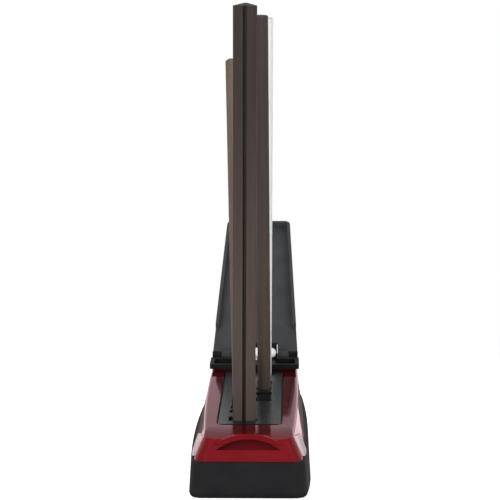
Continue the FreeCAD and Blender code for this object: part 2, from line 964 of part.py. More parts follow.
def housing_outer():
    corner = size("housing_corner")
    start = size("deck_start")
    levels = [(base_level(rim_front, rim_slope, size("reveal")), corner)]
    for inset, drop in rounding_steps(size("deck_edge")):
        levels.append((deck_level(inset, drop, start + inset), corner - inset))
    body = tapered_form("housing_outer", levels)
    brow = new_sketch(body, "brow", "YZ_Plane")
    back = front_y + size("brow_back")
    deck_at_back = deck_front_height + size("brow_back") * tangent(deck_slope)
    run = size("brow_back") + size("brow_ahead")
    slope_drop = run * tangent(deck_slope)
    drop = slope_drop + run * run / (size("brow_radius") * 2.0)
    chord_square = run.value ** 2 + drop.value ** 2
    bulge = chord_square / (8.0 * size("brow_radius").value)
    above = deck_at_back + run
    draw_outline(brow, [
        (back - run, deck_at_back - drop),
        (back, deck_at_back),
        (back, above),
        (back - run, above),
    ], {0: -bulge})
    pocket_both(body, brow, base_length)
    hood = draw_segment(body, "hood", size("hood_back"), size("hood_half"), size("hood_foot"),
                        size("hood_rise"))
    pad(body, hood, size("hood_back") - size("hood_front"))
    hood_face = front_y.value + size("hood_front").value
    dress(body, "Fillet", "hood_rim", size("rim_round"),
          lambda e: is_front_arch(e, hood_face, size("hood_foot").value))
    notch = draw_segment(body, "notch", size("notch_back"), size("notch_half"), size("notch_floor"),
                         size("notch_rise"))
    pocket(body, notch, size("notch_back") + OVER, True)
    dress(body, "Fillet", "notch_rim", size("rim_round"),
          lambda e: is_front_arch(e, hood_face, size("notch_floor").value))
    return body


def is_front_arch(edge, face, foot):
    """Whether an edge is a curved one that stands in the hood's front face above a height."""
    reach = edge.BoundBox
    standing = abs(reach.YMin - face) < 1e-3 and reach.YLength < 1e-3
    curved = isinstance(edge.Curve, Part.Circle) and reach.ZLength > OVER
    return standing and curved and reach.ZMin > foot - 1e-3


def housing_core():
    lip = size("lip_depth")
    low = base_level(rim_front, rim_slope, shell_wall + size("lip_gap") + size("lip_wall"), -lip - OVER)
    low["front"] = size("front_block")
    high = deck_level(size("deck_thick"), size("deck_thick"), size("front_block_top"))
    corner = size("housing_corner") - size("deck_thick")
    return tapered_form("housing_core", [(low, corner), (high, corner)])


def housing_lip():
    lip = size("lip_depth")
    low = base_level(rim_front, rim_slope, shell_wall + size("lip_gap"), -lip)
    high = base_level(rim_front, rim_slope, shell_wall + size("lip_gap"), OVER)
    corner = size("base_corner") - shell_wall
    return tapered_form("housing_lip", [(low, corner), (high, corner)])


def rounded_box(name, across, along, above, frame, corner):
    block = box(name, across, along, above, frame)
    doc.recompute()
    upright = [
        (index + 1, corner.value, corner.value)
        for index, edge in enumerate(block.Shape.Edges)
        if abs(edge.Length - abs(as_number(above[1]) - as_number(above[0]))) < 1e-6
        and is_upright(edge, frame)
    ]
    rounded = doc.addObject("Part::Fillet", name + "_rounded")
    rounded.Base = block
    rounded.Edges = upright
    doc.recompute()
    return rounded


def is_upright(edge, frame):
    direction = edge.Vertexes[1].Point - edge.Vertexes[0].Point
    upright = frame.Rotation.multVec(Vector(0, 0, 1))
    return direction.cross(upright).Length < 1e-6 * direction.Length + 1e-9


def slot_tools(name, low, high):
    tools = []
    inner = size("slot_inner")
    outer = size("slot_outer")
    for index, (left, right) in enumerate(((-outer, -inner), (inner, outer))):
        tools.append(rounded_box("%s_%d" % (name, index), (left, right),
                                 (slot_front, slot_rear), (low, high),
                                 deck_frame(), size("slot_corner")))
    return tools


def red_housing():
    outer = housing_outer()
    hollow = cut("housing_hollow", fuse("housing_blank", [outer, housing_lip()]), housing_core())
    frame = deck_frame()
    bar_half = size("bar_half")
    overhang = size("bar_overhang")
    seat = box("bar_seat", (overhang - bar_half, bar_half - overhang),
               (bar_front + overhang, bar_rear),
               (-OVER, size("bar_seat")), frame)
    depth = size("slot_depth")
    bar_top = size("bar_seat") + size("bar_thick")
    cup = cylinder("spring_cup", size("spring_cup_radius"), size("spring_cup_depth"),
                   deck_frame(0, button_behind, -size("spring_cup_depth")))
    bosses = []
    for index, (across, behind) in enumerate(case_screw_places()):
        height = deck_height(behind) - size("deck_thick").value + OVER
        frame_here = BASE.multiply(Placement(Vector(across, behind, floor_top.value), Rotation()))
        bosses.append(cylinder("housing_boss_%d" % index, size("boss_radius"), as_size(height) - floor_top,
                               frame_here))
    blank = fuse("housing_with_bosses", [hollow, seat, cup] + bosses)
    half = size("plate_half")
    gap = size("plate_gap")
    ledge = size("ledge_width")
    thick = size("plate_thick")
    recess = rounded_box("plate_recess", (-half - gap, half + gap),
                         (size("plate_front") - gap, plate_rear + gap), (-thick, OVER),
                         frame, size("plate_corner") + gap)
    window = box("block_window", (ledge - half, half - ledge),
                 (size("plate_front") + ledge, plate_rear - ledge),
                 (-size("deck_thick") - OVER, 0.0), frame)
    spring_hole = cylinder("spring_hole", size("collar_radius") + size("stem_clearance"),
                           size("spring_floor") + size("bar_seat") + OVER,
                           deck_frame(0, button_behind, -size("spring_floor")))
    tools = [recess, window, spring_hole] + slot_tools("housing_slot", bar_top - depth, bar_top)
    tools.append(pilot_holes("housing", case_screw_places()))
    way = size("screw_radius") + size("screw_clearance")
    for index, across in enumerate(bar_screw_places()):
        low = -size("deck_thick") - OVER
        tools.append(cylinder("bar_screw_way_%d" % index, way, size("bar_seat") + OVER - low,
                              deck_frame(across, bar_screw_behind, low)))
    finish("red_housing", cut("red_housing_cut", blank, fuse("housing_tools", tools)))


# Hinge bar, pin and cover

bar_pilot_end = size("bar_seat") + size("bar_thick") - size("bar_screw_skin")


def bar_screw_places():
    return [size("bar_screw_across") * side for side in (-1, 1)]


def hinge_frame(across=0.0):
    return deck_frame(across, hinge_behind, size("hinge_height"))


def lying(frame):
    """Turn a frame's upright axis to lie across the object."""
    return frame.multiply(Placement(Vector(), Rotation(Vector(0, 1, 0), 90)))


def hinge_bar():
    frame = deck_frame()
    half = size("bar_half")
    low = size("bar_seat")
    high = low + size("bar_thick")
    solids = [rounded_box("bar_plate", (-half, half), (bar_front, bar_rear), (low, high),
                          frame, size("slot_corner"))]
    radius = size("knuckle_radius")
    ear = size("ear_outer") - size("ear_inner")
    for side, start in ((-1, -size("ear_outer")), (1, size("ear_inner"))):
        solids.append(cylinder("ear_%d" % side, radius, ear, lying(hinge_frame(start))))
        solids.append(box("ear_web_%d" % side, (start, start + ear),
                          (bar_rear - OVER, hinge_behind + size("web_tail")),
                          (low, size("hinge_height") - size("knuckle_gap")), frame))
        stop_top = -size("cover_thick") - size("knuckle_gap")
        solids.append(box("cover_stop_%d" % side, (start, start + ear), (0.0, size("stop_reach")),
                          (stop_top - size("stop_thick"), stop_top), cover_frame()))
    guard_half = size("button_half") + size("button_clear") - size("guard_side_gap")
    guard_front = button_behind + size("button_radius") + size("guard_clear")
    guard_rear = guard_front + size("guard_thick")
    across = (-guard_half, guard_half)
    solids.append(cylinder("middle_knuckle", radius, guard_half * 2.0, lying(hinge_frame(-guard_half))))
    solids.append(box("guard_foot", across, (bar_rear - OVER, guard_rear),
                      (low, low + size("guard_foot_thick")), frame))
    solids.append(box("guard", across, (guard_front, guard_rear), (low, size("guard_top")), frame))
    bar = fuse("bar_solid", solids)
    button_low = size("button_height") - size("button_radius") - size("button_travel")
    reach = size("button_half") + size("button_play")
    width = size("button_radius") + size("button_play")
    tools = slot_tools("bar_slot", low - OVER, high + OVER)
    tools.append(box("button_well", (-reach, reach),
                     (button_behind - width, bar_rear + OVER),
                     (button_low - size("button_gap"), high + OVER), frame))
    tools.append(cylinder("stem_hole", size("stem_radius") + size("stem_clearance"),
                          size("bar_thick") + OVER * 2, deck_frame(0, button_behind, low - OVER)))
    tools.append(cylinder("bar_pin_bore", size("pin_radius"), (size("ear_outer") + OVER) * 2,
                          lying(hinge_frame(-size("ear_outer") - OVER))))
    for index, across in enumerate(bar_screw_places()):
        pilot_place = deck_frame(across, bar_screw_behind, low - OVER)
        tools.append(cylinder("bar_pilot_%d" % index, size("screw_radius") + size("pilot_clearance"),
                              bar_pilot_end - low + OVER, pilot_place))
    finish("hinge_bar", cut("hinge_bar_cut", bar, fuse("bar_tools", tools)))


def hinge_pin():
    pin = cylinder("hinge_pin_solid", size("pin_radius"), size("ear_outer") * 2.0,
                   lying(hinge_frame(-size("ear_outer"))))
    finish("hinge_pin", pin)


def cover():
    """The cover in its own frame: the hinge line is the origin, +Y its length, +Z its inside."""
    body = new_body("cover_body")
    root = size("cover_root_half")
    tip = size("cover_tip_half")
    start = size("knuckle_radius") + size("knuckle_gap") * 2.0
    length = size("cover_length")
    notch = size("button_half") + size("button_clear")
    notch_end = size("cover_notch")
    panel = new_sketch(body, "cover_panel", "XY_Plane")
    draw_outline(panel, [(-root, start), (-notch, start), (-notch, notch_end), (notch, notch_end),
                         (notch, start), (root, start), (tip, length), (-tip, length)])
    pad(body, panel, size("cover_thick"), True)
    rim_start = size("cover_rim_start")
    wall = size("cover_rim_wall")
    taper = (root - tip) / (length - start)
    narrowed = root - taper * (rim_start - start)
    block = new_sketch(body, "cover_rim_outline", "XY_Plane")
    draw_outline(block, [(-narrowed, rim_start), (narrowed, rim_start), (tip, length), (-tip, length)])
    pad(body, block, size("cover_rim"))
    rim_top = Placement(Vector(0, 0, size("cover_rim").value), Rotation())
    tray = new_sketch(body, "cover_tray", "XY_Plane", rim_top)
    draw_outline(tray, [(wall - narrowed, rim_start - OVER), (narrowed - wall, rim_start - OVER),
                        (tip - wall, length - wall), (wall - tip, length - wall)])
    pocket(body, tray, size("cover_rim"))
    far = length.value
    dress(body, "Fillet", "cover_corners", size("cover_corner"),
          lambda e: e.BoundBox.XLength < 1e-6 and e.BoundBox.YLength < 1e-6
          and abs(e.BoundBox.YMax - far) < 1e-3)
    place(body, cover_frame())
    solids = [body]
    radius = size("knuckle_radius")
    inner = size("cover_knuckle_inner")
    outer = size("ear_inner") - size("knuckle_gap")
    for side, low in ((-1, -outer), (1, inner)):
        knuckle_place = cover_frame().multiply(Placement(Vector(low.value, 0, 0), Rotation()))
        solids.append(cylinder("cover_knuckle_%d" % side, radius, outer - inner, lying(knuckle_place)))
        solids.append(box("cover_web_%d" % side, (low, low + outer - inner), (0.0, start + size("cover_web")),
                          (-size("cover_thick"), 0.0), cover_frame()))
    blank = fuse("cover_solid", solids)
    bore = cylinder("cover_bore", size("pin_radius") + size("pin_clearance"), root * 2.0,
                    lying(cover_frame().multiply(Placement(Vector(-root.value, 0, 0), Rotation()))))
    finish("cover", cut("cover_cut", blank, bore))


def cover_frame():
    hinge = hinge_frame()
    return Placement(hinge.Base, Rotation(Vector(1, 0, 0), size("cover_open").value))


# Lock button and its spring


def lock_button():
    radius = size("button_radius")
    half = size("button_half")
    behind = button_behind
    height = size("button_height")
    middle = half - radius
    solids = [cylinder("button_bar", radius, middle * 2.0, lying(deck_frame(-middle, behind, height)))]
    for side, across in ((-1, -middle), (1, middle)):
        ball = doc.addObject("Part::Sphere", "button_end_%d" % side)
        bind(ball, "Radius", radius)
        solids.append(place(ball, deck_frame(across, behind, height)))
    collar_top = size("bar_seat") - size("collar_gap")
    collar_low = collar_top - size("collar_thick")
    solids.append(cylinder("button_stem", size("stem_radius"), height - collar_low,
                           deck_frame(0, behind, collar_low)))
    solids.append(cylinder("button_collar", size("collar_radius"), size("collar_thick"),
                           deck_frame(0, behind, collar_low)))
    finish("lock_button", fuse("lock_button_solid", solids))


def button_spring():
    """The return spring under the collar, as a plain sleeve of its coil's inner and outer size."""
    low = -size("spring_floor")
    height = size("bar_seat") - size("collar_gap") - size("collar_thick") - low
    half_wire = size("spring_wire") / 2
    behind = button_behind
    coil = cylinder("spring_outside", size("spring_radius") + half_wire, height, deck_frame(0, behind, low))
    hollow = cylinder("spring_inside", size("spring_radius") - half_wire, height + OVER * 2,
                      deck_frame(0, behind, low - OVER))
    finish("button_spring", cut("button_spring_sleeve", coil, hollow))


# Grip ribs, feet and screws


def grip(name, side):
    """Ribs on a thin skin that follows the flank near the front."""
    relief = size("grip_skin") + size("grip_relief")
    skins = []
    for label, thickness in (("skin", size("grip_skin")), ("ribs", relief)):
        low = base_level(rim_front, rim_slope, size("reveal") - thickness)
        high = deck_level(-thickness, 0.0, size("deck_start") - thickness)
        corner = size("housing_corner")
        skins.append(tapered_form("%s_%s" % (name, label), [(low, corner), (high, corner)]))
    front = size("grip_front")
    pitch = size("grip_pitch")
    count = int(size("grip_count").value)
    reach = size("base_half_end") + size("base_bulge")
    inner = size("plate_half")
    sides = (inner, reach) if side > 0 else (-reach, -inner)
    heights = (size("grip_low"), size("grip_high"))
    total = pitch * (count - 1) + size("grip_rib")
    panel = box(name + "_panel", sides, (front, front + total), heights, BASE)
    ribs = [
        box("%s_rib_%d" % (name, i), sides, (front + pitch * i, front + pitch * i + size("grip_rib")),
            heights, BASE)
        for i in range(count)
    ]
    base = common(name + "_base", skins[0], panel)
    raised = common(name + "_raised", skins[1], fuse(name + "_comb", ribs))
    whole = fuse(name + "_whole", [base, raised])
    finish(name, cut(name + "_cut", whole, doc.getObject("housing_outer")))


FOOT_NAMES = ("foot_pad_front_left", "foot_pad_rear_left", "foot_pad_front_right", "foot_pad_rear_right")


def foot_pads():
    for name, (across, behind) in zip(FOOT_NAMES, foot_places()):
        frame = BASE.multiply(Placement(Vector(across, behind, 0), Rotation()))
        finish(name, cylinder(name + "_disc", size("foot_radius"), size("foot_thick"), frame))


def screws(name, frames, length):
    """Screws with their heads at the bottom, each standing at its own frame."""
    group = []
    for index, low in enumerate(frames):
        head = cylinder("%s_head_%d" % (name, index), size("screw_head_radius"),
                        size("screw_head_thick"), low)
        shank = cylinder("%s_shank_%d" % (name, index), size("screw_radius"),
                         size("screw_head_thick") + length, low)
        screw = fuse("%s_%d" % (name, index), [head, shank])
        drive = doc.addObject("Part::Prism", "%s_drive_%d" % (name, index))
        drive.Polygon = 6
        bind(drive, "Circumradius", size("screw_drive"))
        bind(drive, "Height", size("screw_drive_depth"))
        place(drive, low)
        group.append(cut("%s_cut_%d" % (name, index), screw, drive))
    finish(name, compound(name + "_group", group))


def floor_frames(places):
    """Frames of the screws that come up through the floor."""
    low = size("screw_seat_low").value
    return [BASE.multiply(Placement(Vector(across, behind, low), Rotation())) for across, behind in places]


def bar_screw_frames():
    """Frames of the screws that hold the hinge bar from inside the housing."""
    low = -size("deck_thick") - size("screw_head_thick")
    return [deck_frame(across, bar_screw_behind, low) for across in bar_screw_places()]


triangular_rod()
round_rod("round_rod_rear", size("tip_chamfer"))
round_rod("round_rod_front", size("rod_chamfer"))
round_rod("white_rod", size("rod_chamfer"))
lower_shell()
red_housing()
socket_plate()
socket_block()
hinge_bar()
hinge_pin()
cover()
lock_button()
button_spring()
grip("grip_left", -1)
grip("grip_right", 1)
foot_pads()
screws("case_screws", floor_frames(case_screw_places()), size("screw_length"))
screws("block_screws", floor_frames(block_screw_places()), size("screw_length"))
screws("bar_screws", bar_screw_frames(), size("deck_thick") + bar_pilot_end - size("screw_end"))

doc.recompute()
for item in doc.Objects:
    if "Invalid" in item.State or "Error" in item.State:
        raise RuntimeError("%s did not build: %s" % (item.Name, item.State))

os.makedirs("parts", exist_ok=True)
for name, item in nodes.items():
    shape = item.Shape
    if shape.isNull() or not shape.isValid() or not shape.Solids:
        raise RuntimeError(name + " is not a sound solid")
    shape.exportStep("parts/%s.step" % name)
    print("%-18s solids %d volume %.1f mm3" % (name, len(shape.Solids), shape.Volume))
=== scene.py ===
import json
import math

import bmesh
import bpy
from mathutils import Matrix, Vector


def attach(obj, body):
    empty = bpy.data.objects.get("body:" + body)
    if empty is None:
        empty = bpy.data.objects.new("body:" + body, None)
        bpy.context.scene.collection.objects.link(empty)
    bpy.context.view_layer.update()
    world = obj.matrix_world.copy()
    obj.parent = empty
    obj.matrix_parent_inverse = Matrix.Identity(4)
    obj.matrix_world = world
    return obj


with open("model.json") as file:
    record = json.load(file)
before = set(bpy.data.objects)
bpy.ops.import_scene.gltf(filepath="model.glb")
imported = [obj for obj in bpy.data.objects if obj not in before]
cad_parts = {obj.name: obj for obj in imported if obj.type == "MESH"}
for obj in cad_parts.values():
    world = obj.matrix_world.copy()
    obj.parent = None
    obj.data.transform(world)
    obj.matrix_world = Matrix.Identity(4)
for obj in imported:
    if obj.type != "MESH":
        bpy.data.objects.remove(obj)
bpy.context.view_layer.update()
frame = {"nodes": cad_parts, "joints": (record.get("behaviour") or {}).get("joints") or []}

nodes = frame["nodes"]
joints = {joint["name"]: joint for joint in frame["joints"]}
MM = 0.001

# A colour mix's sockets, by number because the node repeats their names.
FACTOR = 0
FIRST = 6
SECOND = 7
MIXED = 2


def colour(text):
    """A linear colour for a node from its sRGB hex value."""
    channels = [int(text[i:i + 2], 16) / 255.0 for i in (1, 3, 5)]
    linear = [c / 12.92 if c <= 0.04045 else ((c + 0.055) / 1.055) ** 2.4 for c in channels]
    return (*linear, 1.0)


def grey(level):
    """A linear level, for roughness, strength and factors."""
    return (level, level, level, 1.0)


def add(tree, kind, feeds=None, stops=None, **settings):
    """Add a node with its settings, a ramp's stops, and the sockets or values that feed it."""
    item = tree.nodes.new(kind)
    for name, value in settings.items():
        if hasattr(item, name):
            setattr(item, name, value)
        else:
            item.inputs[name.replace("_", " ")].default_value = value
    for name, source in (feeds or {}).items():
        if isinstance(source, bpy.types.NodeSocket):
            tree.links.new(source, item.inputs[name])
        else:
            item.inputs[name].default_value = source
    if stops:
        points = item.color_ramp.elements
        points[0].position, points[0].color = stops[0]
        points[1].position, points[1].color = stops[-1]
        for position, tone in stops[1:-1]:
            points.new(position).color = tone
    return item


def new_material(name):
    """A named material with an empty tree."""
    material = bpy.data.materials.new(name)
    material.use_nodes = True
    material.node_tree.nodes.clear()
    return material, material.node_tree


def new_finish(name):
    """A named material with its empty tree and its Object coordinates."""
    material, tree = new_material(name)
    return material, tree, add(tree, "ShaderNodeTexCoord").outputs["Object"]


def per_mm(size):
    """The scale at which a noise has features of about this size in mm."""
    return 1.0 / (size * MM)


def rubbed(tree, place, across, along):
    """Noise of one size in mm across and another up the height: rub marks or turning lines."""
    mapping = add(tree, "ShaderNodeMapping", {"Vector": place},
                  Scale=(per_mm(across), per_mm(across), per_mm(along)))
    return add(tree, "ShaderNodeTexNoise", {"Vector": mapping.outputs[0]}, Scale=1.0, Detail=3.0)


def where(tree, tests):
    """One where a coordinate passes every test against its limit in mm."""
    result = 1.0
    for source, kind, limit in tests:
        test = add(tree, "ShaderNodeMath", {0: source, 1: limit * MM}, operation=kind)
        result = add(tree, "ShaderNodeMath", {0: test.outputs[0], 1: result},
                     operation="MULTIPLY").outputs[0]
    return result


# The slots under the hinge bar, whose floors and walls in the red housing are darkened with painted
# shade, in mm.
SLOTS_HALF = 26.3
SLOTS_FRONT = 57.5
SLOTS_REAR = 71.5
SLOTS_FOOT = 62.0
# The red deepens from the front face to the deck with painted shade, as the deck gets less of the
# light from the front: y in mm.
RED_FACE = -85.0
RED_DECK = -76.0


def polished_red_abs():
    """Gloss-moulded translucent ABS: deep red and mirror-like, with its own red in what it mirrors
    and the faint ripple of a large flat moulding."""
    material, tree, place = new_finish("polished_red_abs")
    cloud = add(tree, "ShaderNodeTexNoise", {"Vector": place}, Scale=per_mm(22.0), Detail=2.0)
    red = add(tree, "ShaderNodeValToRGB", {"Fac": cloud.outputs[0]},
              [(0.3, colour("#650812")), (0.7, colour("#730e19"))])
    parts = add(tree, "ShaderNodeSeparateXYZ", {"Vector": place})
    # Painted shade: the deck is a deeper red than the front face.
    deck_shade_fade = add(tree, "ShaderNodeMapRange",
               {"Value": parts.outputs["Y"], "From Min": RED_FACE * MM, "From Max": RED_DECK * MM})
    deep = add(tree, "ShaderNodeMix",
               {FACTOR: deck_shade_fade.outputs[0], FIRST: red.outputs[0], SECOND: colour("#47060d")},
               data_type="RGBA")
    across = add(tree, "ShaderNodeMath", {0: parts.outputs["X"]}, operation="ABSOLUTE")
    # Painted shade: near black in the slots under the hinge bar, where the red lies in shadow.
    slot_shade_mask = where(tree, [(across.outputs[0], "LESS_THAN", SLOTS_HALF),
                         (parts.outputs["Y"], "GREATER_THAN", SLOTS_FRONT),
                         (parts.outputs["Y"], "LESS_THAN", SLOTS_REAR),
                         (parts.outputs["Z"], "GREATER_THAN", SLOTS_FOOT)])
    shaded = add(tree, "ShaderNodeMix",
                 {FACTOR: slot_shade_mask, FIRST: deep.outputs[MIXED], SECOND: colour("#0b0506")},
                 data_type="RGBA")
    smudge = add(tree, "ShaderNodeTexNoise", {"Vector": place}, Scale=per_mm(9.0), Detail=4.0)
    rough = add(tree, "ShaderNodeValToRGB", {"Fac": smudge.outputs[0]},
                [(0.35, grey(0.07)), (0.75, grey(0.16))])
    ripple = add(tree, "ShaderNodeTexNoise", {"Vector": place}, Scale=per_mm(4.0), Detail=1.0)
    normal = add(tree, "ShaderNodeBump", {"Height": ripple.outputs[0]}, Strength=0.5,
                 Distance=0.012 * MM)
    skin = add(tree, "ShaderNodeBsdfPrincipled",
               {"Base Color": shaded.outputs[MIXED], "Roughness": rough.outputs[0],
                "Normal": normal.outputs[0]},
               IOR=1.5, Coat_Weight=1.0, Coat_IOR=1.1, Coat_Roughness=0.04,
               Coat_Tint=colour("#ffe2e7"))
    add(tree, "ShaderNodeOutputMaterial", {"Surface": skin.outputs[0]})
    return material


def soft_touch_rubber():
    """Matte over-moulded thermoplastic rubber: dark, with a fine even grain that scatters light."""
    material, tree, place = new_finish("soft_touch_rubber")
    # The real grain is near 0.1 mm, drawn coarser so that it shows.
    fine = add(tree, "ShaderNodeTexNoise", {"Vector": place}, Scale=per_mm(0.45), Detail=2.0)
    cloud = add(tree, "ShaderNodeTexNoise", {"Vector": place}, Scale=per_mm(14.0), Detail=3.0)
    black = add(tree, "ShaderNodeValToRGB", {"Fac": cloud.outputs[0]},
                [(0.3, colour("#1a191b")), (0.75, colour("#212022"))])
    rough = add(tree, "ShaderNodeValToRGB", {"Fac": fine.outputs[0]},
                [(0.3, grey(0.52)), (0.7, grey(0.66))])
    normal = add(tree, "ShaderNodeBump", {"Height": fine.outputs[0]}, Strength=0.5,
                 Distance=0.05 * MM)
    skin = add(tree, "ShaderNodeBsdfPrincipled",
               {"Base Color": black.outputs[0], "Roughness": rough.outputs[0],
                "Normal": normal.outputs[0]},
               IOR=1.5, Specular_IOR_Level=0.35)
    add(tree, "ShaderNodeOutputMaterial", {"Surface": skin.outputs[0]})
    return material


# The plate's edge turns down into its gap, and painted shade darkens it there: where that starts,
# in mm.
PLATE_EDGE_HALF = 17.75
PLATE_EDGE_FRONT = -63.6
PLATE_EDGE_ROUGH = 0.95


def satin_plastic(name, tones, rough_range, relief, gloss, shaded_edge=False):
    """Spark-eroded moulded ABS: a fine matte texture that goes grey where light grazes it."""
    material, tree, place = new_finish(name)
    # The texture is near 0.15 mm, drawn coarser so that it shows.
    fine = add(tree, "ShaderNodeTexNoise", {"Vector": place}, Scale=per_mm(0.5), Detail=2.0)
    cloud = add(tree, "ShaderNodeTexNoise", {"Vector": place}, Scale=per_mm(17.0), Detail=3.0)
    tone = add(tree, "ShaderNodeValToRGB", {"Fac": cloud.outputs[0]},
               [(0.3, colour(tones[0])), (0.75, colour(tones[1]))]).outputs[0]
    rough = add(tree, "ShaderNodeValToRGB", {"Fac": fine.outputs[0]},
                [(0.3, grey(rough_range[0])), (0.7, grey(rough_range[1]))]).outputs[0]
    if shaded_edge:
        # Painted shade: the plate's edge is darkened in colour, and made rough, where it turns down
        # into its gap.
        parts = add(tree, "ShaderNodeSeparateXYZ", {"Vector": place})
        across = add(tree, "ShaderNodeMath", {0: parts.outputs["X"]}, operation="ABSOLUTE")
        sides = where(tree, [(across.outputs[0], "GREATER_THAN", PLATE_EDGE_HALF)])
        front = where(tree, [(parts.outputs["Y"], "LESS_THAN", PLATE_EDGE_FRONT)])
        edge_shade_mask = add(tree, "ShaderNodeMath", {0: sides, 1: front}, operation="MAXIMUM").outputs[0]
        tone = add(tree, "ShaderNodeMix", {FACTOR: edge_shade_mask, FIRST: tone, SECOND: colour("#0a0506")},
                   data_type="RGBA").outputs[MIXED]
        rough = add(tree, "ShaderNodeMix",
                    {FACTOR: edge_shade_mask, FIRST: rough, SECOND: grey(PLATE_EDGE_ROUGH)},
                    data_type="RGBA").outputs[MIXED]
    normal = add(tree, "ShaderNodeBump", {"Height": fine.outputs[0]}, Strength=0.4,
                 Distance=relief * MM)
    skin = add(tree, "ShaderNodeBsdfPrincipled",
               {"Base Color": tone, "Roughness": rough, "Normal": normal.outputs[0]},
               IOR=1.53, Specular_IOR_Level=gloss)
    add(tree, "ShaderNodeOutputMaterial", {"Surface": skin.outputs[0]})
    return material


# How each stick stands, as in the part: its foot in mm, its lean to the front and to the side.
TRIANGLE_STAND = ((-3.427, -46.375, 23.979), 20.0, 0.76)
REAR_STAND = ((-6.325, -25.795, 27.284), -20.0, -2.1)
FRONT_STAND = ((7.141, 23.151, 31.871), 20.0, -0.1)
WHITE_STAND = ((6.834, 56.335, 36.901), 20.0, 0.6)
# The groove up the front face of the triangular stick, darkened with painted shade from its mouth
# to its floor, in mm.
TRIANGLE_SIDE = 14.2
TRIANGLE_FACE = -TRIANGLE_SIDE / (2.0 * math.sqrt(3.0))
GROOVE_HALF = 1.2
GROOVE_MOUTH = TRIANGLE_FACE + 0.25
GROOVE_FLOOR = TRIANGLE_FACE + 2.0
# The stretch of a stick, from its foot in mm, along which its tone changes to that of its tip.
TIP_FROM = 72.0
TIP_TO = 207.0
# How strongly blades' rub marks darken a stick, and how much smoother they leave it.
RUB_STRENGTH = 0.8
RUB_POLISH = 0.14


def stick_place(tree, place, stand):
    """Object coordinates turned so that Z runs up a leaning stick from its foot."""
    foot, lean, side_lean = stand
    mapping = add(tree, "ShaderNodeMapping", {"Vector": place}, vector_type="TEXTURE",
                  Location=[c * MM for c in foot],
                  Rotation=(math.radians(lean), math.radians(side_lean), 0.0))
    return mapping.outputs[0]


def sintered_stick(name, tones, rough, stand, tip, shaded_groove=False):
    """Sintered abrasive ceramic: even grit, with long faint rub marks left by blades, a tone that
    changes towards the tip by the factor given, darker below one and lighter above, and painted
    shade in its groove where it has one."""
    material, tree, place = new_finish(name)
    own = stick_place(tree, place, stand)
    grit = add(tree, "ShaderNodeTexNoise", {"Vector": own}, Scale=per_mm(0.5), Detail=3.0)
    rubs = rubbed(tree, own, across=1.6, along=60.0)
    body = add(tree, "ShaderNodeValToRGB", {"Fac": grit.outputs[0]},
               [(0.25, colour(tones[0])), (0.8, colour(tones[1]))])
    streak = add(tree, "ShaderNodeValToRGB", {"Fac": rubs.outputs[0]},
                 [(0.35, grey(0.82)), (0.7, grey(1.0))])
    tone = add(tree, "ShaderNodeMix",
               {FACTOR: RUB_STRENGTH, FIRST: body.outputs[0], SECOND: streak.outputs[0]},
               data_type="RGBA", blend_type="MULTIPLY").outputs[MIXED]
    parts = add(tree, "ShaderNodeSeparateXYZ", {"Vector": own})
    change = add(tree, "ShaderNodeMapRange",
                 {"Value": parts.outputs["Z"], "From Min": TIP_FROM * MM, "From Max": TIP_TO * MM,
                  "To Min": 1.0, "To Max": tip})
    tone = add(tree, "ShaderNodeMix", {FACTOR: 1.0, FIRST: tone, SECOND: change.outputs[0]},
               data_type="RGBA", blend_type="MULTIPLY").outputs[MIXED]
    if shaded_groove:
        # Painted shade: the groove up the front face is darkened in colour.
        aside = add(tree, "ShaderNodeMath", {0: parts.outputs["X"]}, operation="ABSOLUTE")
        groove_shade_mask = where(tree, [(aside.outputs[0], "LESS_THAN", GROOVE_HALF),
                              (parts.outputs["Y"], "GREATER_THAN", GROOVE_MOUTH),
                              (parts.outputs["Y"], "LESS_THAN", GROOVE_FLOOR)])
        tone = add(tree, "ShaderNodeMix", {FACTOR: groove_shade_mask, FIRST: tone, SECOND: colour("#3a2e2b")},
                   data_type="RGBA").outputs[MIXED]
    wear = add(tree, "ShaderNodeValToRGB", {"Fac": rubs.outputs[0]},
               [(0.3, grey(rough)), (0.8, grey(rough - RUB_POLISH))])
    normal = add(tree, "ShaderNodeBump", {"Height": grit.outputs[0]}, Strength=0.6,
                 Distance=0.06 * MM)
    skin = add(tree, "ShaderNodeBsdfPrincipled",
               {"Base Color": tone, "Roughness": wear.outputs[0], "Normal": normal.outputs[0]},
               IOR=1.55)
    add(tree, "ShaderNodeOutputMaterial", {"Surface": skin.outputs[0]})
    return material


def fired_alumina():
    """Fired alumina: close, slightly waxy white, with grey metal traces where blades have run."""
    material, tree, place = new_finish("fired_alumina")
    own = stick_place(tree, place, WHITE_STAND)
    rubs = rubbed(tree, own, across=2.2, along=30.0)
    grit = add(tree, "ShaderNodeTexNoise", {"Vector": place}, Scale=per_mm(0.4), Detail=2.0)
    white = add(tree, "ShaderNodeValToRGB", {"Fac": rubs.outputs[0]},
                [(0.3, colour("#e3e0de")), (0.62, colour("#dcd8d6")), (0.8, colour("#c6c2c0"))])
    normal = add(tree, "ShaderNodeBump", {"Height": grit.outputs[0]}, Strength=0.4,
                 Distance=0.03 * MM)
    skin = add(tree, "ShaderNodeBsdfPrincipled",
               {"Base Color": white.outputs[0], "Normal": normal.outputs[0]},
               Roughness=0.42, IOR=1.65, Subsurface_Weight=0.06, Subsurface_Scale=0.6 * MM)
    add(tree, "ShaderNodeOutputMaterial", {"Surface": skin.outputs[0]})
    return material


